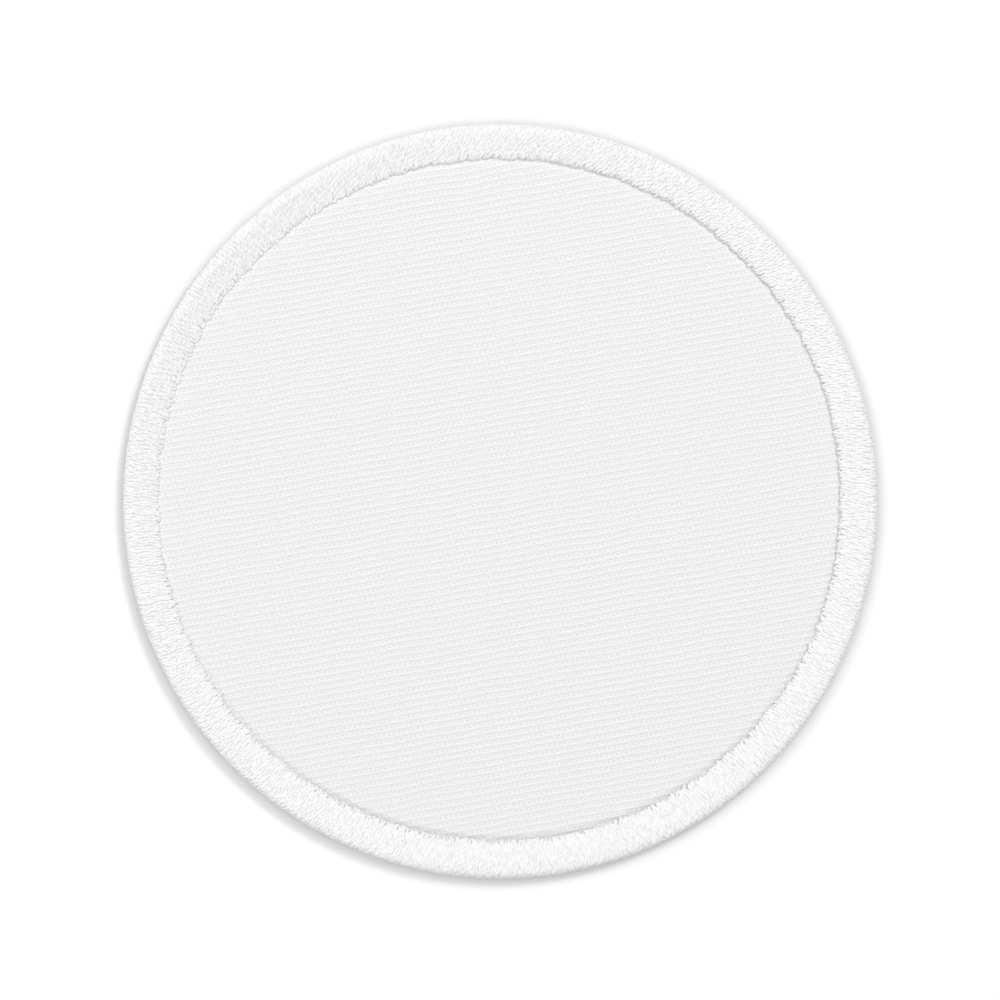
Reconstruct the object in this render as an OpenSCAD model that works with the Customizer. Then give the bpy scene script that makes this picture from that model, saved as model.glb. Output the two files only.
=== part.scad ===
// Round embroidered patch with a bare face: a disc of white twill held in a thick stitched border.
// The border's thread lies over the rim of the cloth, wraps round its edge and tucks under its back.
// Lengths are millimetres. The patch lies face up on its back, with the middle of the back at the origin.

/* [Patch] */
// Width of the patch over its border
patch_d = 76.2; // [50:0.1:125]

/* [Twill cloth] */
// Thickness of the twill with its stiffening
cloth_t = 1; // [0.6:0.05:1.2]
// Clearance between the cloth and the stitching on each side
seam_gap = 0.05; // [0.02:0.01:0.1]

/* [Border on the face] */
// Mean width of the border seen from the front
band_w = 3.6; // [3:0.1:6]
// Height of the border's crest above the cloth
crest_h = 0.7; // [0.5:0.05:0.9]
// Mean height of the stitches' inner ends above the cloth
end_h = 0.3; // [0.2:0.05:0.4]
// How far the border's inner edge sits off the patch's centre
drift = 0.35; // [0:0.05:0.6]
// Direction of that drift, which is the border's narrow side
drift_angle = 135; // [0:5:355]

/* [Border round the edge and back] */
// Thickness of the thread outside the cloth's edge
wrap_t = 0.7; // [0.6:0.05:1]
// Thickness of the stitching under the cloth
tuck_t = 0.3; // [0.2:0.05:0.5]
// Width of the stitching on the back
tuck_w = 2.8; // [2:0.1:5]

/* [Hidden] */
$fn = 180;

patch_r = patch_d / 2;
cloth_back_z = tuck_t + seam_gap;
cloth_face_z = cloth_back_z + cloth_t;
band_under_z = cloth_face_z + seam_gap;
patch_t = cloth_face_z + crest_h;

// The slot in the stitching is the cloth's own section with the clearance round it.
slot_r = patch_r - wrap_t;
cloth_r = slot_r - seam_gap;

// A full round makes the outer edge, and its top is the crest.
edge_r = patch_t / 2;
crest_at = patch_r - edge_r;

// A wide arc falls from the crest to the inner ends, level where it leaves the crest.
inner_r = patch_r - band_w;
fall_run = crest_at - inner_r;
fall_drop = crest_h - end_h;
fall_r = (pow(fall_run, 2) + pow(fall_drop, 2)) / (2 * fall_drop);

module edge_round() {
    translate([crest_at, edge_r])
        circle(r = edge_r);
}

// It reaches in past the inner edge, wherever that drifts, and the inner edge's cut trims it.
module face_band() {
    reach = fall_run + 2 * drift;
    intersection() {
        translate([crest_at, patch_t - fall_r])
            circle(r = fall_r);
        translate([crest_at - reach, band_under_z])
            square([reach, patch_t]);
    }
}

module back_tuck() {
    translate([patch_r - tuck_w, 0])
        square([tuck_w - edge_r, tuck_t]);
}

module cloth_slot() {
    translate([0, tuck_t])
        square([slot_r, band_under_z - tuck_t]);
}

// Half section of the border, with the patch's axis at the left
module border_section() {
    difference() {
        union() {
            edge_round();
            face_band();
            back_tuck();
        }
        cloth_slot();
    }
}

// What the inner edge leaves open over the cloth. It starts inside the slot, so only the band
// over the cloth is trimmed.
module inner_edge_cut() {
    start_z = (tuck_t + band_under_z) / 2;
    translate([drift * cos(drift_angle), drift * sin(drift_angle), start_z])
        cylinder(h = patch_t, r = inner_r);
}

module twill_cloth() {
    color("#F0F0F0")
        translate([0, 0, cloth_back_z])
            cylinder(h = cloth_t, r = cloth_r);
}

module stitched_border() {
    color("#FAFAFA")
        difference() {
            rotate_extrude()
                border_section();
            inner_edge_cut();
        }
}

twill_cloth();
stitched_border();
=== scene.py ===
# %% [markdown]
# # An embroidered patch, white on white
#
# This lesson dresses a CAD model of a round cloth patch. The CAD model has two solids: a disc of
# twill cloth, and a ring of stitching that grips its edge. Here the disc gets the relief of its
# weave, and the ring becomes several hundred separate stitches.
#
# White cloth on a white table has almost no colour to tell its parts apart. Everything that the
# eye reads is small shadow: between the ribs of the weave, between the threads, and under the edge.
# So most of the work is in true, fine geometry and in plain soft light.

# %% Load the frame
import math

import bpy
import numpy as np
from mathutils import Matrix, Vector
from mathutils.geometry import delaunay_2d_cdt


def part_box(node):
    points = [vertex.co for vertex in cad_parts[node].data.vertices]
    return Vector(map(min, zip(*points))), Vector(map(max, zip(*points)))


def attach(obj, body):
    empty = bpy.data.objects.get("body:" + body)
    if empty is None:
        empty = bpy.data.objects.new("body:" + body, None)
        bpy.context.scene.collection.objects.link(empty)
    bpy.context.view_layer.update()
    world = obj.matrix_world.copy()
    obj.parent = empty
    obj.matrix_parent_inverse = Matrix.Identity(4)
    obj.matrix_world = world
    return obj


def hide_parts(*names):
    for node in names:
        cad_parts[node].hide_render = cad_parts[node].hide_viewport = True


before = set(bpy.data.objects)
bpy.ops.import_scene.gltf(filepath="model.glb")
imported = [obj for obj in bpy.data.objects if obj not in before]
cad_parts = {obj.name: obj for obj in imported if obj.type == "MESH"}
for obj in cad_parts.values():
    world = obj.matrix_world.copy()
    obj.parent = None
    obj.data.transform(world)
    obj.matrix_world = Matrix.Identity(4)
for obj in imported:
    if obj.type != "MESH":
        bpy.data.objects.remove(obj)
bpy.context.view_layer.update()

# %% [markdown]
# ## One place for the sizes
#
# Cloth and thread are small things, so this script thinks in millimetres, and only the last step of
# making a mesh turns them to metres. The big sizes are read from the CAD solids, so the looks
# always fit the model. Only what the solids don't say, such as thread counts, is written here.

# %% Sizes read from the CAD solids
MM = 0.001


def box_mm(node):
    low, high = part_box(node)
    return low / MM, high / MM


cloth_low, cloth_high = box_mm("twill_cloth")
_, ring_high = box_mm("stitched_border")
PATCH_R = ring_high.x
PATCH_T = ring_high.z
CLOTH_R = cloth_high.x
CLOTH_BACK = cloth_low.z
CLOTH_FACE = cloth_high.z
# The outer edge is a half round as high as the patch, and the border's crest is above its middle.
EDGE_R = PATCH_T / 2
CREST_R = PATCH_R - EDGE_R
print(f"patch {2 * PATCH_R:.1f} mm across and {PATCH_T:.2f} mm thick, cloth face at {CLOTH_FACE:.2f} mm")

# %% [markdown]
# ## The camera
#
# The photograph looks straight down at the patch from some way off, with a long lens. The frame is
# about a third wider than the patch. A long lens keeps the sides of the border from showing, as a
# product photograph does.

# %% Camera straight above
IMAGE_PX = 1000
PATCH_RADIUS_PX = 377.3
# Pixels are counted from 0 at their centres, so the middle of the picture is at 499.5.
PATCH_CENTRE_PX = (500.0, 500.8)
LENS = 180.0
SENSOR = 36.0
# In metres, as Blender counts it
NEAREST_SEEN = 0.01

mm_per_px = PATCH_R / PATCH_RADIUS_PX
frame_width = IMAGE_PX * mm_per_px
middle_px = (IMAGE_PX - 1) / 2
camera_data = bpy.data.cameras.new("camera")
camera_data.lens = LENS
camera_data.sensor_width = SENSOR
camera_data.clip_start = NEAREST_SEEN
camera = bpy.data.objects.new("camera", camera_data)
bpy.context.scene.collection.objects.link(camera)
# The distance is counted from half way up the edge, where the patch is widest.
camera.location = Vector((
    (middle_px - PATCH_CENTRE_PX[0]) * mm_per_px,
    (PATCH_CENTRE_PX[1] - middle_px) * mm_per_px,
    EDGE_R + frame_width * LENS / SENSOR,
)) * MM
bpy.context.scene.camera = camera
print(f"the frame is {frame_width:.1f} mm wide, and the camera is {camera.location.z:.3f} m up")

# %% [markdown]
# ## Helpers for materials
#
# Colours are written as the hex values that a colour picker shows, which are sRGB. Blender's
# shaders work in linear light, so one function turns them over. A second small function adds a
# shader node, sets its settings and joins its inputs, and every material is built with it.

# %% Colour and node helpers
def linear(hex_colour):
    values = [int(hex_colour[i : i + 2], 16) / 255 for i in (1, 3, 5)]
    return [v / 12.92 if v <= 0.04045 else ((v + 0.055) / 1.055) ** 2.4 for v in values] + [1.0]


def add_node(tree, kind, inputs, **settings):
    """Each input is a value, a socket, or a node, which stands for its first output."""
    node = tree.nodes.new(kind)
    for name, value in settings.items():
        setattr(node, name, value)
    for socket, value in inputs.items():
        if isinstance(value, bpy.types.Node):
            value = value.outputs[0]
        if isinstance(value, bpy.types.NodeSocket):
            tree.links.new(value, node.inputs[socket])
        else:
            node.inputs[socket].default_value = value
    return node


def new_material(name):
    material = bpy.data.materials.new(name)
    material.use_nodes = True
    material.node_tree.nodes.clear()
    return material, material.node_tree


print("the middle grey #808080 is", round(linear("#808080")[0], 3), "in linear light")

# %% [markdown]
# ## The table
#
# The patch lies on a sheet of opal acrylic with a sanded, matt face. It shows no reflection of the
# patch, and it is bright enough to stay pure white up to the patch's own shadow.
#
# Right beside the patch the sheet is also shut in by the patch's edge. An ambient occlusion node
# measures how far, and darkens the sheet there, which gives the thin dark line where they touch.

# %% Table of opal acrylic
TABLE_HALF = 2.0
TABLE_WHITE = "#FEFEFE"
CONTACT_REACH = 3.4
CONTACT_SHADE = 0.64
# The share of open space over a spot of the sheet where it is darkest, and from where it stays white
SHUT_IN = 0.5
OPEN_ABOVE = 0.9

table_material, tree = new_material("opal_acrylic_sheet")
nearness = add_node(tree, "ShaderNodeAmbientOcclusion", {"Distance": CONTACT_REACH * MM}, samples=12)
contact = add_node(tree, "ShaderNodeMapRange", {
    "Value": nearness.outputs["AO"],
    "From Min": SHUT_IN,
    "From Max": OPEN_ABOVE,
    "To Min": CONTACT_SHADE,
})
table_colour = add_node(tree, "ShaderNodeMix", {
    "Factor": contact, "A": linear("#000000"), "B": linear(TABLE_WHITE),
}, data_type="RGBA")
surface = add_node(tree, "ShaderNodeBsdfPrincipled", {
    "Base Color": table_colour.outputs["Result"],
    "Roughness": 0.6,
    "IOR": 1.49,
})
add_node(tree, "ShaderNodeOutputMaterial", {"Surface": surface})

corner_signs = ((-1, -1), (1, -1), (1, 1), (-1, 1))
table_corners = [(x * TABLE_HALF, y * TABLE_HALF, 0) for x, y in corner_signs]
table_mesh = bpy.data.meshes.new("table")
table_mesh.from_pydata(table_corners, [], [(0, 1, 2, 3)])
table_mesh.materials.append(table_material)
table = bpy.data.objects.new("table", table_mesh)
bpy.context.scene.collection.objects.link(table)
print(f"table {2 * TABLE_HALF:.0f} m wide, its material has {len(tree.nodes)} nodes")

# %% [markdown]
# ## The light
#
# The light is a white room, brighter at the ceiling than at the walls, with two softboxes. The one
# to the upper right throws the shadow down to the left. A large one to the upper left rounds the
# border. It casts no shadow here, because the photograph shows the shadow of one lamp only.

# %% White room
WALL_LIGHT = 0.32
CEILING_LIGHT = 0.57

world = bpy.data.worlds.new("white_room")
world.use_nodes = True
room = world.node_tree
background = room.nodes["Background"]
background.inputs["Color"].default_value = linear("#FFFFFF")
direction = add_node(room, "ShaderNodeTexCoord", {})
direction = add_node(room, "ShaderNodeSeparateXYZ", {"Vector": direction.outputs["Generated"]})
upward = add_node(room, "ShaderNodeMath", {0: direction.outputs["Z"]}, operation="ABSOLUTE")
brightness = add_node(room, "ShaderNodeMapRange", {
    "Value": upward, "To Min": WALL_LIGHT, "To Max": CEILING_LIGHT,
})
room.links.new(brightness.outputs[0], background.inputs["Strength"])
bpy.context.scene.world = world
bpy.context.scene.view_settings.view_transform = "Standard"
print(f"the ceiling is {CEILING_LIGHT / WALL_LIGHT:.1f} times as bright as the walls")


# %% Two softboxes
def softbox(name, azimuth, elevation, distance, size, watts, shadow=True):
    """A round lamp aimed at the patch: angles in degrees, azimuth from +X, lengths in metres."""
    data = bpy.data.lights.new(name, "AREA")
    data.shape = "DISK"
    data.size = size
    data.energy = watts
    data.use_shadow = shadow
    box = bpy.data.objects.new(name, data)
    turn, rise = math.radians(azimuth), math.radians(elevation)
    flat = math.cos(rise)
    box.location = Vector((flat * math.cos(turn), flat * math.sin(turn), math.sin(rise))) * distance
    box.rotation_euler = (-box.location).to_track_quat("-Z", "Y").to_euler()
    bpy.context.scene.collection.objects.link(box)
    print(f"{name}: {size} m wide, {watts} W, {'with' if shadow else 'without'} a shadow")


softbox("softbox_right", azimuth=49, elevation=53, distance=1.0, size=0.3, watts=2.9)
softbox("softbox_left", azimuth=155, elevation=60, distance=1.0, size=0.9, watts=4.7, shadow=False)

# %% [markdown]
# ## How a mesh is made here
#
# Each piece is worked out as arrays of points in millimetres, because hundreds of stitches are far
# too many to model one by one. One function makes the mesh, gives each face's corners their place
# in the UV map, parents the piece to the CAD body and hides the solid that it stands for. The UV map
# says where a spot lies on the threads, and the materials draw yarns and fibres from it.

# %% Make a piece from arrays
UV_NAME = "threads"


def make_piece(name, points, faces, uv, material, node, flat_faces=0):
    """points in mm; faces as a list of arrays of corner indices; uv as one pair for each corner.

    The last flat_faces faces are shaded flat, and the others smooth."""
    corners = np.concatenate([f.ravel() for f in faces]).astype(np.int32)
    sizes = np.concatenate([np.full(len(f), f.shape[1], np.int32) for f in faces])
    mesh = bpy.data.meshes.new(name)
    mesh.vertices.add(len(points))
    mesh.vertices.foreach_set("co", (np.asarray(points) * MM).astype(np.float32).ravel())
    mesh.loops.add(len(corners))
    mesh.loops.foreach_set("vertex_index", corners)
    mesh.polygons.add(len(sizes))
    mesh.polygons.foreach_set("loop_start", (np.cumsum(sizes) - sizes).astype(np.int32))
    mesh.update(calc_edges=True)
    smooth = np.ones(len(sizes), bool)
    smooth[len(sizes) - flat_faces :] = False
    mesh.polygons.foreach_set("use_smooth", smooth)
    layer = mesh.uv_layers.new(name=UV_NAME)
    layer.data.foreach_set("uv", np.asarray(uv, np.float32).ravel())
    mesh.materials.append(material)
    repaired = mesh.validate(verbose=False)
    piece = bpy.data.objects.new(name, mesh)
    bpy.context.scene.collection.objects.link(piece)
    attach(piece, "root")
    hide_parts(node)
    triangles = int(np.sum(sizes - 2))
    print(f"{name}: {len(points)} points, {triangles} triangles", "REPAIRED" if repaired else "")
    return piece


print("the UV map of each piece is called", UV_NAME)

# %% [markdown]
# ## The border's width round the clock
#
# A border that a machine sews is never quite even. On this patch it is widest at six o'clock and
# narrowest at one. The width at each hour is read off the photograph in mm, counting anticlockwise
# from three o'clock, and a smooth curve runs through the twelve values. A second row says how high
# the stitches' inner ends stand above the cloth: at ten o'clock they lie about level with it.

# %% Width of the border
BORDER_WIDTH = [3.85, 3.6, 3.55, 3.6, 3.65, 3.6, 3.7, 3.8, 3.87, 3.95, 3.9, 3.8]
END_HEIGHT = [0.27, 0.27, 0.27, 0.22, 0.05, -0.01, 0.03, 0.21, 0.27, 0.27, 0.27, 0.27]


def round_the_clock(values, angle):
    """The value at an angle in radians, on a smooth curve through the hours' values."""
    hours = len(values)
    place = np.asarray(angle) / (2 * math.pi) * hours
    hour = np.floor(place).astype(int)
    t = place - hour
    before, here, after, later = (np.array(values)[(hour + k) % hours] for k in (-1, 0, 1, 2))
    bend = 2 * before - 5 * here + 4 * after - later
    twist = 3 * here - before - 3 * after + later
    return here + (after - before) / 2 * t + bend / 2 * t**2 + twist / 2 * t**3


def inner_edge(angle):
    return PATCH_R - round_the_clock(BORDER_WIDTH, angle)


clock_angles = np.radians(range(0, 360, 30))
print("inner edge of the border, mm from the centre:", np.round(inner_edge(clock_angles), 2))

# %% [markdown]
# ## The weave
#
# The cloth is a 2/1 twill. Each fine warp yarn passes over two weft yarns and under one, and its
# neighbour does the same one weft further on. The steps line up as slanting ribs. The photograph
# gives about 100 warp and 58 weft yarns to the inch, and the warp runs 20 degrees below level.
#
# The relief could be painted on as bump alone, but then it would be missing from the mesh and from
# the cloth seen at a slant. So it is done twice from one rule: the mesh carries the broad form of
# each yarn, and the material draws the same rule again as a fine bump, with its fibres.

# %% The rule of the weave
INCH = 25.4
WARP_SPACING = INCH / 99.5
WEFT_SPACING = INCH / 58.3
WARP_TURN = math.radians(-20.4)
REPEAT = 3
# A yarn's level near the crossing that breaks its run and its level on the rest of the run, where
# that change starts and how long it takes, in crossings, and how round the yarn is. The warp goes
# under at its one crossing in three, and the weft comes up.
YARNS = {
    "warp": {"crossing": 0.0, "run": 0.6, "start": 0.34, "change": 0.99, "round": 0.46},
    "weft": {"crossing": 0.5, "run": -0.05, "start": 0.73, "change": 0.46, "round": 0.92},
}


def yarn_height(along, across, yarn):
    """Height of the nearest yarn that runs along, at a place counted in yarns along and across it."""
    heights = []
    for neighbour in (0, 1):
        number = np.floor(across) + neighbour
        away = REPEAT / 2 - np.abs((along - number) % REPEAT - REPEAT / 2)
        t = np.clip((away - yarn["start"]) / yarn["change"], 0, 1)
        level = yarn["crossing"] + (yarn["run"] - yarn["crossing"]) * t * t * (3 - 2 * t)
        heights.append(level - yarn["round"] * (across - number) ** 2)
    return np.maximum(*heights)


def weave_height(wefts, warps):
    """Height of the cloth at a place counted in weft and warp yarns."""
    warp_top = yarn_height(wefts, warps, YARNS["warp"])
    weft_top = yarn_height(warps, wefts, YARNS["weft"])
    return np.maximum(warp_top, weft_top)


print(f"warp yarns are {WARP_SPACING:.3f} mm apart and weft yarns {WEFT_SPACING:.3f} mm")

# %% Heights in one repeat
REPEAT_SAMPLES = 90

repeat_steps = np.linspace(0, REPEAT, REPEAT_SAMPLES)
repeat_heights = weave_height(*np.meshgrid(repeat_steps, repeat_steps))
WEAVE_LOW = float(repeat_heights.min())
WEAVE_HIGH = float(repeat_heights.max())
print(f"one repeat runs from {WEAVE_LOW:.2f} to {WEAVE_HIGH:.2f}, mean {repeat_heights.mean():.2f}")

# %% [markdown]
# ## Twill cloth: the grid of yarns
#
# The grid follows the yarns. Each warp yarn has two lines of points, on its crown and on the groove
# beside it, with four points to each repeat, and each line is moved on so that its points fall at
# the same places of the pattern. So every yarn really rises and dips. Woven yarns wander a little,
# which a few slow waves give.

# %% Places counted in yarns
def yarn_place(wefts, warps):
    """Where a count of weft and warp yarns lies, in mm, before the yarns wander."""
    along, across = wefts * WEFT_SPACING, warps * WARP_SPACING
    x = along * math.cos(WARP_TURN) - across * math.sin(WARP_TURN)
    y = along * math.sin(WARP_TURN) + across * math.cos(WARP_TURN)
    return x, y


def yarn_count(x, y):
    """The other way round: how many weft and warp yarns out a place lies."""
    along = x * math.cos(WARP_TURN) + y * math.sin(WARP_TURN)
    across = y * math.cos(WARP_TURN) - x * math.sin(WARP_TURN)
    return along / WEFT_SPACING, across / WARP_SPACING


rim_wefts, rim_warps = yarn_count(CLOTH_R, 0)
print(f"the rim at three o'clock is {rim_wefts:.0f} wefts and {rim_warps:.0f} warps from the centre")

# %% Slow waves
# One seed for all that is random, so that each run gives the same patch
SEED = 7
rng = np.random.default_rng(SEED)


def slow_waves(x, y, count, shortest, longest):
    """A smooth random field of about unit size, as a sum of plane waves."""
    total = np.zeros(np.shape(x))
    for _ in range(count):
        length = rng.uniform(shortest, longest)
        turn, phase = rng.uniform(0, 2 * math.pi, 2)
        total += np.sin(2 * math.pi * (x * math.cos(turn) + y * math.sin(turn)) / length + phase)
    return total * math.sqrt(2 / count)


print("random draws start from seed", SEED)

# %% Grid of yarn places
FINE_MARGIN = 0.8
# How far yarns wander, in how many waves, and the shortest and longest of them, in mm
YARN_WANDER = 0.032
WANDER_WAVES = 24
WANDER_LENGTH = (4, 14)
ROW = REPEAT / 4

half_lines = int(PATCH_R / WARP_SPACING * 2)
half_rows = int((PATCH_R / WEFT_SPACING + half_lines / 4) / ROW)
lines = np.arange(-half_lines, half_lines + 1)
rows = np.arange(-half_rows, half_rows + 1)
line, row = np.meshgrid(lines, rows, indexing="ij")
warp_count = line / 2
# The pattern moves on by half a weft from line to line, which is the same as back by a quarter.
weft_count = row * ROW - line / 4
x, y = yarn_place(weft_count, warp_count)
x += YARN_WANDER * slow_waves(x, y, WANDER_WAVES, *WANDER_LENGTH)
y += YARN_WANDER * slow_waves(x, y, WANDER_WAVES, *WANDER_LENGTH)
radius = np.hypot(x, y)
round_angle = np.arctan2(y, x)
inside = radius < inner_edge(round_angle) + FINE_MARGIN
whole = inside[:-1, :-1] & inside[1:, :-1] & inside[1:, 1:] & inside[:-1, 1:]
print(f"grid of {inside.sum()} points and {whole.sum()} squares")
print(f"each square is {WARP_SPACING / 2:.3f} by {WEFT_SPACING * ROW:.3f} mm")

# %% [markdown]
# ## Twill cloth: height of the face
#
# Near the border the stitches pull the cloth down. It sags gently over the last millimetre, and in
# the last half millimetre it drops into a narrow gully, which runs on a little way under the ends of
# the stitches. The gully is deepest at six and seven o'clock and all but gone at ten. Each point
# takes the weave's mean height over the space round it, so that few points still give true yarns.

# %% Height of the face
RELIEF = 0.25
SAG = 0.06
SAG_REACH = 1.0
GULLY_DEPTH = [0.23, 0.22, 0.24, 0.22, 0.1, 0.03, 0.07, 0.24, 0.34, 0.34, 0.32, 0.27]
GULLY_WIDE = 0.45
GULLY_UNDER = 0.12
# Samples of the weave for each point, in squares of the grid along and across the warp
SAMPLES_ALONG = np.linspace(-0.75, 0.75, 7)
SAMPLES_ACROSS = np.linspace(-0.5, 0.5, 5)

from_edge = inner_edge(round_angle) - radius
ramp = np.clip(1 - (from_edge + GULLY_UNDER) / (GULLY_WIDE + GULLY_UNDER), 0, 1)
gully = round_the_clock(GULLY_DEPTH, round_angle) * ramp
dip = SAG * np.exp(-np.clip(from_edge, 0, None) / SAG_REACH) + gully
samples = [(i, j) for i in SAMPLES_ALONG for j in SAMPLES_ACROSS]
heights = [weave_height(weft_count + i * ROW, warp_count + j / 2) for i, j in samples]
weave = (np.mean(heights, axis=0) - WEAVE_HIGH) / (WEAVE_HIGH - WEAVE_LOW)
z = CLOTH_FACE + RELIEF * weave - dip
print(f"the yarns' relief in the mesh is {RELIEF * np.ptp(weave[inside]):.2f} mm")

# %% Points and triangles of the face
corner_steps = ((0, 0), (1, 0), (1, 1), (0, 1))
line_squares, row_squares = whole.shape
squares = [(slice(i, i + line_squares), slice(j, j + row_squares)) for i, j in corner_steps]
used = np.zeros(line.shape, bool)
for square in squares:
    used[square] |= whole
number = np.cumsum(used.ravel()).reshape(used.shape) - 1
face_points = np.stack([x[used], y[used], z[used]], 1)
face_counts = np.stack([weft_count[used], warp_count[used]], 1)
a, b, c, d = (number[square][whole] for square in squares)
face_triangles = np.concatenate([np.stack([a, c, b], 1), np.stack([a, d, c], 1)])
print(f"face of {len(face_points)} points and {len(face_triangles)} triangles")

# %% [markdown]
# ## Twill cloth: one closed sheet
#
# Past the border's edge nobody sees the cloth, so long triangles join the fine grid to the round
# rim, and the sides and back are plain. Blender's Delaunay function makes those long triangles. It
# fills the inside of the grid's outline too, so only the triangles that can be reached from the rim
# are kept.

# %% Outline of the fine grid, and the rim
RIM_POINTS = 240


def sides(triangles):
    return np.sort(np.stack([triangles, np.roll(triangles, -1, 1)], 2), 2)


all_sides, times = np.unique(sides(face_triangles).reshape(-1, 2), axis=0, return_counts=True)
outline = all_sides[times == 1]
outline_points, outline = np.unique(outline, return_inverse=True)
outline = outline.reshape(-1, 2)
turn = np.arange(RIM_POINTS) * 2 * math.pi / RIM_POINTS
rim = CLOTH_R * np.stack([np.cos(turn), np.sin(turn)], 1)
first_rim = len(outline_points)
rim_numbers = first_rim + np.arange(RIM_POINTS)
rim_sides = np.stack([rim_numbers, np.roll(rim_numbers, -1)], 1)
print(f"{len(outline)} sides on the fine grid's outline, {RIM_POINTS} on the rim")

# %% Triangles between them
# The function's number for filling all there is within the outermost points, and the distance in mm
# within which it takes two points for one
FILL_ALL = 0
SAME_POINT = 1e-6

flat_points = np.concatenate([face_points[outline_points, :2], rim])
_, _, filled, from_point, _, _ = delaunay_2d_cdt(
    [Vector(p) for p in flat_points],
    np.concatenate([outline, rim_sides]).tolist(), [], FILL_ALL, SAME_POINT,
)
filled = np.array([[from_point[corner][0] for corner in triangle] for triangle in filled])
closed = {tuple(side) for side in outline.tolist()}
beside = {}
for k, triangle_sides in enumerate(sides(filled).tolist()):
    for side in triangle_sides:
        beside.setdefault(tuple(side), []).append(k)
kept = set(np.flatnonzero((filled >= first_rim).sum(1) == 2).tolist())
waiting = list(kept)
while waiting:
    for side in sides(filled[[waiting.pop()]])[0].tolist():
        if tuple(side) in closed:
            continue
        for k in beside[tuple(side)]:
            if k not in kept:
                kept.add(k)
                waiting.append(k)
print(f"{len(kept)} of {len(filled)} triangles kept")

# %% Whole cloth
rim_face = len(face_points)
rim_back = rim_face + RIM_POINTS
k = np.arange(RIM_POINTS)
next_k = (k + 1) % RIM_POINTS
cloth_number = np.concatenate([outline_points, rim_face + k])
ring_triangles = cloth_number[filled[sorted(kept)]]
wall = np.stack([rim_face + next_k, rim_face + k, rim_back + k, rim_back + next_k], 1)
back = rim_back + k[::-1][None]
rim_x, rim_y = rim.T
cloth_points = np.concatenate([
    face_points,
    np.stack([rim_x, rim_y, np.full(RIM_POINTS, CLOTH_FACE)], 1),
    np.stack([rim_x, rim_y, np.full(RIM_POINTS, CLOTH_BACK)], 1),
])
cloth_counts = np.concatenate([face_counts] + [np.stack(yarn_count(rim_x, rim_y), 1)] * 2)
cloth_faces = [face_triangles, ring_triangles, wall, back]
cloth_uv = np.concatenate([cloth_counts[f.ravel()] for f in cloth_faces])
print("faces of the face, its outer ring, the wall and the back:", [len(f) for f in cloth_faces])

# %% [markdown]
# ## Twill material: the yarns again
#
# The real cloth is a polyester and cotton twill, bleached white after weaving and stiffened so that
# it lies flat. Spun yarn scatters light evenly, so it is nearly matt, and the cloth's grey comes
# from its hollows. The material repeats the rule of the weave in nodes, from the yarn counts that
# the UV map holds, so that its fine shading always sits on the mesh's own yarns.
#
# One thing here makes it look woven and not printed: each yarn is a little thicker or thinner than
# the next.

# %% Yarn relief in nodes
MATH = "ShaderNodeMath"
YARN_UNEVEN = 0.1
# Added to a yarn's number to look up its own random value, so that warp and weft draw apart
WARP_SEED = 0.37
WEFT_SEED = 500.37

twill_material, tree = new_material("bleached_poly_cotton_twill")
counts = add_node(tree, "ShaderNodeUVMap", {}, uv_map=UV_NAME)
counts = add_node(tree, "ShaderNodeSeparateXYZ", {"Vector": counts})
wefts, warps = counts.outputs["X"], counts.outputs["Y"]


def yarn_nodes(along, across, yarn, seed):
    """The same rule as yarn_height, in nodes, with a random thickness for each yarn."""
    heights = []
    for neighbour in (0, 1):
        whole_yarns = add_node(tree, MATH, {0: across}, operation="FLOOR")
        number = add_node(tree, MATH, {0: whole_yarns, 1: neighbour}, operation="ADD")
        off = add_node(tree, MATH, {0: across, 1: number}, operation="SUBTRACT")
        lag = add_node(tree, MATH, {0: along, 1: number}, operation="SUBTRACT")
        # PINGPONG counts up to half a repeat and back.
        away = add_node(tree, MATH, {0: lag, 1: REPEAT / 2}, operation="PINGPONG")
        level = add_node(tree, "ShaderNodeMapRange", {
            "Value": away,
            "From Min": yarn["start"],
            "From Max": yarn["start"] + yarn["change"],
            "To Min": yarn["crossing"],
            "To Max": yarn["run"],
        }, interpolation_type="SMOOTHSTEP")
        square = add_node(tree, MATH, {0: off, 1: off}, operation="MULTIPLY")
        round_top = add_node(tree, MATH, {
            0: square, 1: -yarn["round"], 2: level,
        }, operation="MULTIPLY_ADD")
        own = add_node(tree, MATH, {0: number, 1: seed}, operation="ADD")
        own = add_node(tree, "ShaderNodeTexWhiteNoise", {"W": own}, noise_dimensions="1D")
        own = add_node(tree, MATH, {0: own.outputs["Value"], 1: 0.5}, operation="SUBTRACT")
        uneven = add_node(tree, MATH, {0: own, 1: YARN_UNEVEN, 2: round_top}, operation="MULTIPLY_ADD")
        heights.append(uneven)
    return add_node(tree, MATH, {0: heights[0], 1: heights[1]}, operation="MAXIMUM")


warp_top = yarn_nodes(wefts, warps, YARNS["warp"], WARP_SEED)
weft_top = yarn_nodes(warps, wefts, YARNS["weft"], WEFT_SEED)
weave_top = add_node(tree, MATH, {0: warp_top, 1: weft_top}, operation="MAXIMUM")
print("nodes for the yarns' relief:", len(tree.nodes))

# %% [markdown]
# ## Twill material: fibres
#
# A spun yarn is a bundle of short fibres, and they break up its surface. They lie along the yarn, so
# the grain is drawn out along the warp, which makes most of the face. Real fibres are 0.015 mm
# thick, which the picture can't show, so the grain is drawn about 0.16 mm wide.

# %% Fibres and bump
# Grains of noise to one weft yarn along the warp, and to one warp yarn across it
GRAINS_TO_WEFT = 1.3
GRAINS_TO_WARP = 1.6
FIBRE_GRAIN = 0.2
TWILL_FINE_RELIEF = 0.04

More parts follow.
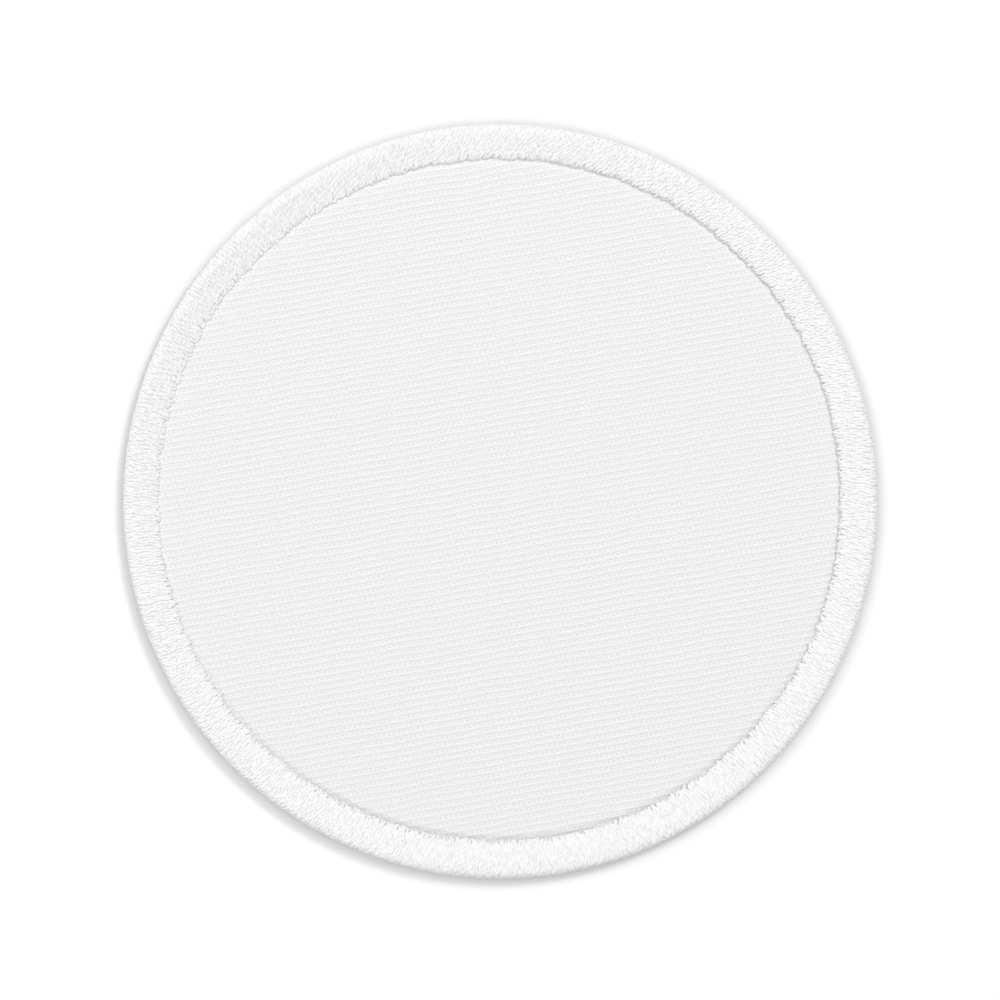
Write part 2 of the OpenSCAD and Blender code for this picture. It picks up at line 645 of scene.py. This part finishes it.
grain_place = add_node(tree, "ShaderNodeCombineXYZ", {"X": wefts, "Y": warps})
grain_place = add_node(tree, "ShaderNodeVectorMath", {
    0: grain_place, 1: (GRAINS_TO_WEFT, GRAINS_TO_WARP, 1.0),
}, operation="MULTIPLY")
grain = add_node(tree, "ShaderNodeTexNoise", {
    "Vector": grain_place, "Scale": 1.0, "Detail": 2.0, "Roughness": 0.6,
})
grain_height = add_node(tree, MATH, {0: grain, 1: 0.5}, operation="SUBTRACT")
cloth_height = add_node(tree, MATH, {
    0: grain_height, 1: FIBRE_GRAIN * 2, 2: weave_top,
}, operation="MULTIPLY_ADD")
fine_height = add_node(tree, "ShaderNodeMapRange", {
    "Value": cloth_height, "From Min": WEAVE_LOW, "From Max": WEAVE_HIGH,
}, clamp=False)
bump = add_node(tree, "ShaderNodeBump", {"Height": fine_height, "Distance": TWILL_FINE_RELIEF * MM})
grain_length = WEFT_SPACING / GRAINS_TO_WEFT
grain_width = WARP_SPACING / GRAINS_TO_WARP
print(f"a grain is {grain_length:.2f} mm long and {grain_width:.2f} mm wide")

# %% [markdown]
# ## Twill material: light lost between the yarns
#
# White yarn passes light on from yarn to yarn, and what falls into a gap is partly lost. A path
# tracer would need every fibre to show that, so the loss is drawn as colour, as painted shade. Four
# soft spots repeat with the weave: two are painted shade in the groove between ribs and in the
# pinhole where yarns cross, and two are painted highlights on the middle of a float and the crown of the
# rib.
#
# Each spot is a peak that repeats evenly, the exponential of a cosine less one, in two directions:
# across the ribs and along them. Noise makes some spots deep and some shallow, as in real cloth.

# %% Four spots in each repeat
# Places are counted in ribs across them and in yarns along them. Each spot is as narrow as its two
# numbers say and may slant, and its painted light is added, or its painted shade where it is negative.
SPOTS = {
    "groove": {"across": 0.31, "along": 0.08, "narrow": (2.1, 0.4), "slant": 0, "light": -0.62},
    "pinhole": {"across": 0.76, "along": 0.62, "narrow": (0.9, 0.25), "slant": 0, "light": -0.8},
    "float": {"across": 0.71, "along": 0.94, "narrow": (1.6, 1.7), "slant": 1, "light": 0.7},
    "crown": {"across": 0.02, "along": 0.4, "narrow": (4.5, 1.0), "slant": 0, "light": 0.5},
}
# Where the count across the ribs starts, and the light that is left away from all spots
RIB_START = 0.33
LIGHT_LEFT = 0.82

step = add_node(tree, MATH, {0: wefts, 1: warps}, operation="SUBTRACT")
across_ribs = add_node(tree, MATH, {0: step, 1: REPEAT}, operation="DIVIDE")
along_ribs = add_node(tree, MATH, {0: across_ribs, 1: wefts}, operation="SUBTRACT")
across_ribs = add_node(tree, MATH, {0: across_ribs, 1: RIB_START}, operation="SUBTRACT")
print("spots in each repeat:", ", ".join(SPOTS))

# %% Light left at each place
light = LIGHT_LEFT
for spot in SPOTS.values():
    off_across = add_node(tree, MATH, {0: across_ribs, 1: spot["across"]}, operation="SUBTRACT")
    off_along = add_node(tree, MATH, {0: along_ribs, 1: spot["along"]}, operation="SUBTRACT")
    off_along = add_node(tree, MATH, {
        0: off_across, 1: spot["slant"], 2: off_along,
    }, operation="MULTIPLY_ADD")
    fade = 0.0
    for off, narrow in zip((off_across, off_along), spot["narrow"]):
        turned = add_node(tree, MATH, {0: off, 1: 2 * math.pi}, operation="MULTIPLY")
        wave = add_node(tree, MATH, {0: turned}, operation="COSINE")
        below = add_node(tree, MATH, {0: wave, 1: 1.0}, operation="SUBTRACT")
        fade = add_node(tree, MATH, {0: below, 1: narrow, 2: fade}, operation="MULTIPLY_ADD")
    strength = add_node(tree, MATH, {0: fade}, operation="EXPONENT")
    light = add_node(tree, MATH, {0: strength, 1: spot["light"], 2: light}, operation="MULTIPLY_ADD")
print("nodes so far:", len(tree.nodes))

# %% Uneven spots and shining fibres
MEAN_LIGHT = 0.48
# How far noise deepens or flattens the spots, how coarse it is against the grain of the fibres, and
# the range that its values seldom leave
UNEVEN_LOSS = 0.9
UNEVEN_SCALE = 0.45
UNEVEN_RANGE = (0.25, 0.75)
# How far single fibres shine or go dim, and how fine they are against the grain
FIBRE_SHINE = 0.5
SHINE_SCALE = 1.6

contrast = add_node(tree, MATH, {0: light, 1: MEAN_LIGHT}, operation="SUBTRACT")
patchy = add_node(tree, "ShaderNodeTexNoise", {
    "Vector": grain_place, "Scale": UNEVEN_SCALE, "Detail": 1.0,
})
patchy = add_node(tree, "ShaderNodeMapRange", {
    "Value": patchy,
    "From Min": UNEVEN_RANGE[0],
    "From Max": UNEVEN_RANGE[1],
    "To Min": 1 - UNEVEN_LOSS,
    "To Max": 1 + UNEVEN_LOSS,
}, clamp=False)
light = add_node(tree, MATH, {0: contrast, 1: patchy, 2: MEAN_LIGHT}, operation="MULTIPLY_ADD")
shine = add_node(tree, "ShaderNodeTexNoise", {
    "Vector": grain_place, "Scale": SHINE_SCALE, "Detail": 0.0,
})
shine = add_node(tree, MATH, {0: shine, 1: 0.5}, operation="SUBTRACT")
light = add_node(tree, MATH, {0: shine, 1: FIBRE_SHINE * 2, 2: light}, operation="MULTIPLY_ADD")
for what, scale in (("uneven loss", UNEVEN_SCALE), ("shine", SHINE_SCALE)):
    print(f"patches of {what}: {grain_length / scale:.2f} by {grain_width / scale:.2f} mm")

# %% Finished twill
# Cotton and polyester have an IOR of 1.5 to 1.6, and spun yarn's loose fibres leave little gloss.
# The two whites that the spots' painted shade and painted highlights mix between
TWILL_LIT = "#F3F3F3"
TWILL_LOST = "#E3E3E3"

twill_colour = add_node(tree, "ShaderNodeMix", {
    "Factor": light, "A": linear(TWILL_LOST), "B": linear(TWILL_LIT),
}, data_type="RGBA")
surface = add_node(tree, "ShaderNodeBsdfPrincipled", {
    "Base Color": twill_colour.outputs["Result"],
    "Roughness": 0.85,
    "IOR": 1.5,
    "Specular IOR Level": 0.3,
    "Normal": bump,
})
add_node(tree, "ShaderNodeOutputMaterial", {"Surface": surface})
print("twill material:", len(tree.nodes), "nodes")

# The faces of the wall and the one of the back are flat, and the woven face is smooth.
twill = make_piece(
    "twill_cloth_woven", cloth_points, cloth_faces, cloth_uv, twill_material, "twill_cloth",
    flat_faces=RIM_POINTS + 1,
)

# %% [markdown]
# ## Border: the path of one stitch
#
# The border is sewn over the patch's edge, as an overlocked or satin-stitched edge is: the machine
# lays thread after thread side by side, over the rim and round to the back. Each stitch comes up
# through the cloth at the border's inner edge, climbs to the crest, goes over the edge, runs back
# under the patch and goes in again.
#
# A curve with a bevel could draw one stitch, but a plied thread turns as it goes, and hundreds of
# curves are slow to convert. So one path is worked out as rings, for all stitches at once. The fall
# from the crest is an even slope at ten o'clock, and elsewhere it starts gently and steepens. The
# round of the edge is a circle made a little squarer, as padding under thread is.

# %% Sizes of a stitch
STITCHES = 780
THREAD_HIGH = 0.15
THREAD_WIDE = 0.21
# Where a stitch comes out of the cloth: how far in it rises, from how deep, how far back it starts
TIP_RISE = 0.22
TIP_DEEP = 0.2
TIP_SET_BACK = 0.02
FALL_BEND = [1.4, 1.4, 1.4, 1.3, 1.05, 1.0, 1.2, 1.4, 1.4, 1.4, 1.4, 1.4]
EDGE_FULLNESS = 3.4
# Where it goes in again on the back: how far in that is, how far on it goes and how deep
BACK_WIDTH = 2.7
DIVE_ON = 0.14
DIVE_DEEP = 0.3
RINGS = {"tip": 8, "fall": 40, "edge": 60, "back": 20, "dive": 6}

crest_turn = np.arange(STITCHES) * 2 * math.pi / STITCHES
print(f"{STITCHES} stitches, {2 * math.pi * CREST_R / STITCHES:.2f} mm apart at the crest")


# %% Path of the stitches
def full_round(part):
    """A cosine or sine made fuller, so that a circle becomes a little squarer."""
    return np.sign(part) * np.abs(part) ** (2 / EDGE_FULLNESS)


def stitch_path(angle, start_r, back_r):
    """Radius and height of the middle of the thread at each ring, for each stitch."""
    first = start_r[:, None]
    last = back_r[:, None]
    top = PATCH_T - THREAD_HIGH
    low = CLOTH_FACE + round_the_clock(END_HEIGHT, angle)[:, None] - THREAD_HIGH
    bend = round_the_clock(FALL_BEND, angle)[:, None]
    fall_start = first + TIP_RISE

    def fall_z(r):
        return top - (top - low) * ((CREST_R - r) / (CREST_R - first)) ** bend

    rise = np.linspace(0, math.pi / 2, RINGS["tip"], endpoint=False)
    tip_r = first + TIP_RISE * (1 - np.cos(rise))
    tip_low = CLOTH_FACE - TIP_DEEP
    tip_z = tip_low + (fall_z(fall_start) - tip_low) * np.sin(rise)
    share = np.linspace(0, 1, RINGS["fall"], endpoint=False)
    fall_r = fall_start + (CREST_R - fall_start) * share
    # Adding zeros for each stitch repeats a row that is the same for all of them.
    zeros = np.zeros_like(first)
    over = np.linspace(math.pi / 2, -math.pi / 2, RINGS["edge"], endpoint=False)
    middle_r = EDGE_R - THREAD_HIGH
    edge_r = CREST_R + middle_r * full_round(np.cos(over)) + zeros
    edge_z = EDGE_R + middle_r * full_round(np.sin(over)) + zeros
    share = np.linspace(0, 1, RINGS["back"])
    run_r = CREST_R + (last - CREST_R) * share
    run_z = np.full_like(run_r, THREAD_HIGH)
    share = np.linspace(0, 1, RINGS["dive"] + 1)[1:]
    dive_r = last - DIVE_ON * np.sin(share * math.pi / 2)
    dive_z = THREAD_HIGH + DIVE_DEEP * share**2 + zeros
    r = np.concatenate([tip_r, fall_r, edge_r, run_r, dive_r], 1)
    z = np.concatenate([tip_z, fall_z(fall_r), edge_z, run_z, dive_z], 1)
    return r, z


print("rings of the path before they are spaced evenly:", sum(RINGS.values()))

# %% Where each stitch starts and ends
# In mm: a start's own offset, one that it shares with about three neighbours, and the end's own
START_UNEVEN = 0.07
START_DRIFT = 0.06
DRIFT_REACH = 3
BACK_UNEVEN = 0.12


def uneven(amount, smooth=0.0):
    """A random value for each stitch, in mm, the same as its neighbours' as far as smooth says."""
    values = rng.normal(0, 1, STITCHES)
    if smooth:
        waves = np.fft.rfft(values) * np.exp(-((np.fft.rfftfreq(STITCHES) * smooth * 2) ** 2))
        values = np.fft.irfft(waves, STITCHES)
    return values / values.std() * amount


start_r = inner_edge(crest_turn) + THREAD_HIGH + TIP_SET_BACK
start_r = start_r + uneven(START_UNEVEN) + uneven(START_DRIFT, DRIFT_REACH)
back_r = PATCH_R - BACK_WIDTH + uneven(BACK_UNEVEN)
path_r, path_z = stitch_path(crest_turn, start_r, back_r)
print(f"stitches start {start_r.min():.2f} to {start_r.max():.2f} mm from the centre")

# %% [markdown]
# ## Border: the lean of the stitches
#
# The machine feeds the patch on while the needle comes back, so a stitch doesn't point straight at
# the centre. It leans by 8 degrees on the mean, most at half past twelve and hardly at all across
# from there. The rings of the path are then spaced evenly along the thread, because a twisted tube
# looks pinched where its rings bunch up.

# %% Lean of the stitches
MEAN_LEAN = 8.0
LEAN_CHANGE = 9.0
MOST_LEAN_AT = 75.0

steps = np.hypot(np.diff(path_r), np.diff(path_z))
zero_column = np.zeros((STITCHES, 1))
run = np.concatenate([zero_column, np.cumsum(steps, 1)], 1)
lean = np.radians(MEAN_LEAN + LEAN_CHANGE * np.cos(crest_turn - math.radians(MOST_LEAN_AT)))
step_r = (path_r[:, 1:] + path_r[:, :-1]) / 2
turned = np.concatenate([zero_column, np.cumsum(-steps / step_r, 1)], 1)
crest_ring = RINGS["tip"] + RINGS["fall"]
turned = (turned - turned[:, crest_ring : crest_ring + 1]) * np.tan(lean)[:, None]
print(f"the lean goes from {np.degrees(lean.min()):.0f} to {np.degrees(lean.max()):.0f} degrees")

# %% Rings at even steps
# Closer over the face and the edge, which show, than on the back
RINGS_SHOWN = 50
RINGS_HIDDEN = 9

under_ring = crest_ring + RINGS["edge"]
shown_run = run[:, under_ring, None]
hidden_run = (run[:, -1] - run[:, under_ring])[:, None]
shown = shown_run * np.linspace(0, 1, RINGS_SHOWN, endpoint=False)
hidden = shown_run + hidden_run * np.linspace(0, 1, RINGS_HIDDEN)
ring_run = np.concatenate([shown, hidden], 1)
path_r, path_z, turned = (
    np.array([np.interp(ring_run[k], run[k], values[k]) for k in range(STITCHES)])
    for values in (path_r, path_z, turned)
)
run = ring_run
print(f"each stitch is {run[:, -1].mean():.1f} mm long, with {run.shape[1]} rings")

# %% [markdown]
# ## Border: two-ply thread
#
# Embroidery thread is two plies twisted together, which shows as short slanting dashes. The thread's
# section here is an eight-sided outline with a lobe for each ply, and it turns as it goes along the
# path. No thread lies quite straight: each sways a little to the sides, and some stand higher than
# their neighbours, so the dark gaps between them are short and broken and not long lines.

# %% Sway of the threads
# In mm: how far threads crowd together with a neighbour and each by itself, how much higher some
# stand, how far each sways, and the shortest and longest sway
CLUMP = 0.015
CLUMP_REACH = 1
SPREAD = 0.02
LIFT = 0.02
WOBBLE = 0.07
WOBBLE_LENGTH = (1.1, 2.0)

sideways = uneven(CLUMP, CLUMP_REACH) + uneven(SPREAD)
wobble_length = rng.uniform(*WOBBLE_LENGTH, (STITCHES, 1))
wobble = WOBBLE * np.sin(2 * math.pi * (run / wobble_length + rng.uniform(0, 1, (STITCHES, 1))))
angle = crest_turn[:, None] + turned + (sideways[:, None] + wobble) / CREST_R
on_top = np.clip((path_z - EDGE_R) / EDGE_R, 0, 1)
lift = uneven(LIFT)[:, None] * on_top
path = np.stack([path_r * np.cos(angle), path_r * np.sin(angle), path_z + lift], 2)
print(f"the highest thread's middle is at {path[..., 2].max():.2f} mm")

# %% Directions along, beside and out of each thread
ahead = np.gradient(path, axis=1)
ahead /= np.linalg.norm(ahead, axis=2, keepdims=True)
slope_r = np.gradient(path_r, axis=1)
slope_z = np.gradient(path_z, axis=1)
outward = np.stack([-slope_z * np.cos(angle), -slope_z * np.sin(angle), slope_r], 2)
beside_it = np.cross(ahead, outward)
beside_it /= np.linalg.norm(beside_it, axis=2, keepdims=True)
outward = np.cross(beside_it, ahead)
print("three directions at each of", run.size, "rings")

# %% Tubes of twisted thread
# The length of one full turn of the plies, and the section's reach at its eight corners
PLY_TURN_LENGTH = 1.05
LOBES = np.array([1.0, 0.78, 0.54, 0.78] * 2)

sides_round = len(LOBES)
ring_count = path_r.shape[1]
ply_turn = rng.uniform(0, 2 * math.pi, (STITCHES, 1)) - run * 2 * math.pi / PLY_TURN_LENGTH
corner_turn = np.arange(sides_round) * 2 * math.pi / sides_round + ply_turn[:, :, None]
wide = THREAD_WIDE * (path_r / CREST_R)[:, :, None]
across_it = LOBES * np.cos(corner_turn) * wide
above_it = LOBES * np.sin(corner_turn) * THREAD_HIGH
thread_points = path[:, :, None] + beside_it[:, :, None] * across_it[..., None]
thread_points += outward[:, :, None] * above_it[..., None]
# The table holds up the threads on the back.
thread_points[..., 2] = np.maximum(thread_points[..., 2], 0)
print("stitches, rings, corners:", thread_points.shape[:3])
print(f"the highest point of a thread is at {thread_points[..., 2].max():.2f} mm")

# %% [markdown]
# ## Border thread material
#
# White embroidery thread is bright, trilobal polyester: long smooth filaments, not spun fibre. It
# gives a soft sheen along the thread and stays bright where the cloth beside it goes grey. Its
# filaments are about 0.02 mm thick, too fine for the picture, so nine coarser ones are drawn round
# each thread. Along it the white changes a little, in streaks of about a millimetre.

# %% Two-ply embroidery thread
THREAD_WHITE = "#F8F8F8"
THREAD_SHADE = "#EFEFEF"
FILAMENTS = 9.0
FILAMENT_CHANGES_PER_MM = 1.2
FILAMENT_RELIEF = 0.012
STREAK_LENGTH = 0.9
STREAK_RANGE = (0.3, 0.7)

thread_material, tree = new_material("bright_polyester_thread")
thread_uv = add_node(tree, "ShaderNodeUVMap", {}, uv_map=UV_NAME)
filament_place = add_node(tree, "ShaderNodeVectorMath", {
    0: thread_uv, 1: (FILAMENTS, FILAMENT_CHANGES_PER_MM, 1.0),
}, operation="MULTIPLY")
filaments = add_node(tree, "ShaderNodeTexNoise", {
    "Vector": filament_place, "Scale": 1.0, "Detail": 1.0,
}, noise_dimensions="2D")
thread_bump = add_node(tree, "ShaderNodeBump", {
    "Height": filaments, "Distance": FILAMENT_RELIEF * MM,
})
thread_uv_parts = add_node(tree, "ShaderNodeSeparateXYZ", {"Vector": thread_uv})
streak = add_node(tree, "ShaderNodeTexNoise", {
    "W": thread_uv_parts.outputs["Y"], "Scale": 1 / STREAK_LENGTH, "Detail": 1.0,
}, noise_dimensions="1D")
streak = add_node(tree, "ShaderNodeMapRange", {
    "Value": streak, "From Min": STREAK_RANGE[0], "From Max": STREAK_RANGE[1],
})
thread_colour = add_node(tree, "ShaderNodeMix", {
    "Factor": streak, "A": linear(THREAD_SHADE), "B": linear(THREAD_WHITE),
}, data_type="RGBA")
# Polyester has an IOR of 1.55 to 1.6, and its filaments lie too unevenly for a sharp gloss.
surface = add_node(tree, "ShaderNodeBsdfPrincipled", {
    "Base Color": thread_colour.outputs["Result"],
    "Roughness": 0.48,
    "IOR": 1.55,
    "Normal": thread_bump,
})
add_node(tree, "ShaderNodeOutputMaterial", {"Surface": surface})
print("thread material:", len(tree.nodes), "nodes")

# %% [markdown]
# ## Border: stitches in four arcs
#
# All the stitches have the same rings and corners, so the faces of one tube, moved on by a tube's
# number of points, serve for every one. Each arc of the border becomes one piece, with a cap on both
# ends of each tube to close it. The UV map goes once round the thread and counts mm along it, and
# each stitch starts its count further on, so that no two show the same filaments.

# %% Faces of one tube
ring_numbers, corner_numbers = np.arange(ring_count - 1), np.arange(sides_round)
ring_place, corner_place = np.meshgrid(ring_numbers, corner_numbers, indexing="ij")
next_corner = (corner_place + 1) % sides_round
this_ring, next_ring = ring_place * sides_round, (ring_place + 1) * sides_round
tube = np.stack([
    this_ring + corner_place,
    next_ring + corner_place,
    next_ring + next_corner,
    this_ring + next_corner,
], 2).reshape(-1, 4)
tube_uv = np.stack([
    np.stack([corner_place, corner_place, corner_place + 1, corner_place + 1], 2) / sides_round,
    np.stack([ring_place, ring_place + 1, ring_place + 1, ring_place], 2),
], 3).reshape(-1, 2)
caps = np.array([corner_numbers, (ring_count - 1) * sides_round + corner_numbers[::-1]])
print(f"one tube has {len(tube)} four-sided faces and {len(caps)} caps")

# %% Pieces of the border
ARCS = 4
STRAND_UV = 20.0

points_each = ring_count * sides_round
for arc, members in enumerate(np.array_split(np.arange(STITCHES), ARCS), start=1):
    first_points = (np.arange(len(members)) * points_each)[:, None, None]
    tubes = (tube[None] + first_points).reshape(-1, 4)
    ends = (caps[None] + first_points).reshape(-1, sides_round)
    strand_run = run[members][:, tube_uv[:, 1].astype(int)] + members[:, None] * STRAND_UV
    strand_turn = np.broadcast_to(tube_uv[:, 0], strand_run.shape)
    strand_uv = np.stack([strand_turn, strand_run], 2).reshape(-1, 2)
    make_piece(
        f"border_stitches_{arc}",
        thread_points[members].reshape(-1, 3),
        [tubes, ends],
        np.concatenate([strand_uv, np.zeros((ends.size, 2))]),
        thread_material, "stitched_border",
    )

# %% [markdown]
# ## Border underlay
#
# Under the top stitches a machine first sews an underlay, which pads the border and holds the cloth.
# It shows only as a dim floor in the gaps between stitches, so its form is one plain ring, a little
# below the stitches' outer form, wrapped round the cloth's rim.
#
# Its thread is spun polyester, which is softer and more matt than the top thread. The threads lie
# across the border, a third of a millimetre apart, and each changes over about 2 mm of its length.
# So the noise of the material is fine round the ring and drawn out across it.

# %% Section of the underlay
UNDER = 0.17
UNDER_INSET = 0.5
UNDER_TURNS = 360
FALL_POINTS = 8
EDGE_POINTS = 13
BACK_INSET = 0.3
CLEAR = 0.03


def underlay_section(angle):
    """Outline in radius and height, going round the section, at each angle round the patch."""
    edge = inner_edge(angle)[:, None]
    first = edge + UNDER_INSET
    zeros = np.zeros_like(first)
    inner = first + (CREST_R - first) * np.linspace(0, 1, FALL_POINTS, endpoint=False)
    low = CLOTH_FACE + round_the_clock(END_HEIGHT, angle)[:, None]
    bend = round_the_clock(FALL_BEND, angle)[:, None]
    inner_z = PATCH_T - UNDER - (PATCH_T - low) * ((CREST_R - inner) / (CREST_R - edge)) ** bend
    over = np.linspace(math.pi / 2, -math.pi / 2, EDGE_POINTS)
    edge_r = CREST_R + (EDGE_R - UNDER) * full_round(np.cos(over)) + zeros
    edge_z = EDGE_R + (EDGE_R - UNDER) * full_round(np.sin(over)) + zeros
    back_end = PATCH_R - BACK_WIDTH + BACK_INSET
    slot_r = CLOTH_R + CLEAR
    slot = [
        (back_end, UNDER),
        (back_end, CLOTH_BACK - CLEAR),
        (slot_r, CLOTH_BACK - CLEAR),
        (slot_r, CLOTH_FACE + CLEAR),
    ]
    slot_points = np.array(slot).T[:, None] + zeros[None]
    r = np.concatenate([inner, edge_r, slot_points[0], first], 1)
    z = np.concatenate([inner_z, edge_z, slot_points[1], CLOTH_FACE + CLEAR + zeros], 1)
    return r, z


turn = np.arange(UNDER_TURNS) * 2 * math.pi / UNDER_TURNS
under_r, under_z = underlay_section(turn)
count = under_r.shape[1]
print(f"the underlay has {UNDER_TURNS} sections of {count} points")

# %% Points, faces and UV map of the underlay
cosine, sine = np.cos(turn)[:, None], np.sin(turn)[:, None]
under_points = np.stack([under_r * cosine, under_r * sine, under_z], 2)
i, j = np.meshgrid(np.arange(UNDER_TURNS), np.arange(count), indexing="ij")
next_j = (j + 1) % count
this_section, next_section = i * count, ((i + 1) % UNDER_TURNS) * count
under_faces = np.stack([
    this_section + j,
    this_section + next_j,
    next_section + next_j,
    next_section + j,
], 2).reshape(-1, 4)
first_r, first_z = under_r[0], under_z[0]
steps_r = np.diff(first_r, append=first_r[:1])
steps_z = np.diff(first_z, append=first_z[:1])
section_run = np.concatenate([[0], np.cumsum(np.hypot(steps_r, steps_z))])
under_uv = np.stack([
    np.stack([i, i, i + 1, i + 1], 2) / UNDER_TURNS * 2 * math.pi * CREST_R,
    section_run[np.stack([j, j + 1, j + 1, j], 2)],
], 3).reshape(-1, 2)
print(f"it is {section_run[-1]:.1f} mm round its section")

# %% Spun polyester underlay
UNDERLAY_LIT = "#F8F8F8"
UNDERLAY_DIM = "#EAEAEA"
UNDERLAY_SPACING = 0.35
UNDERLAY_STREAK = 2.0
UNDERLAY_RELIEF = 0.06

underlay_material, tree = new_material("spun_polyester_underlay")
underlay_uv = add_node(tree, "ShaderNodeUVMap", {}, uv_map=UV_NAME)
underlay_place = add_node(tree, "ShaderNodeVectorMath", {
    0: underlay_uv, 1: (1 / UNDERLAY_SPACING, 1 / UNDERLAY_STREAK, 1.0),
}, operation="MULTIPLY")
laid_threads = add_node(tree, "ShaderNodeTexNoise", {
    "Vector": underlay_place, "Scale": 1.0, "Detail": 2.0,
}, noise_dimensions="2D")
underlay_bump = add_node(tree, "ShaderNodeBump", {
    "Height": laid_threads, "Distance": UNDERLAY_RELIEF * MM,
})
# The colour follows the bump's noise: the laid threads' tone changes at random, and their low parts are
# painted dimmer, a painted shade.
underlay_colour = add_node(tree, "ShaderNodeMix", {
    "Factor": laid_threads, "A": linear(UNDERLAY_DIM), "B": linear(UNDERLAY_LIT),
}, data_type="RGBA")
surface = add_node(tree, "ShaderNodeBsdfPrincipled", {
    "Base Color": underlay_colour.outputs["Result"],
    "Roughness": 0.7,
    "IOR": 1.55,
    "Normal": underlay_bump,
})
add_node(tree, "ShaderNodeOutputMaterial", {"Surface": surface})
print("underlay material:", len(tree.nodes), "nodes")
make_piece(
    "border_underlay", under_points.reshape(-1, 3), [under_faces], under_uv,
    underlay_material, "stitched_border",
)
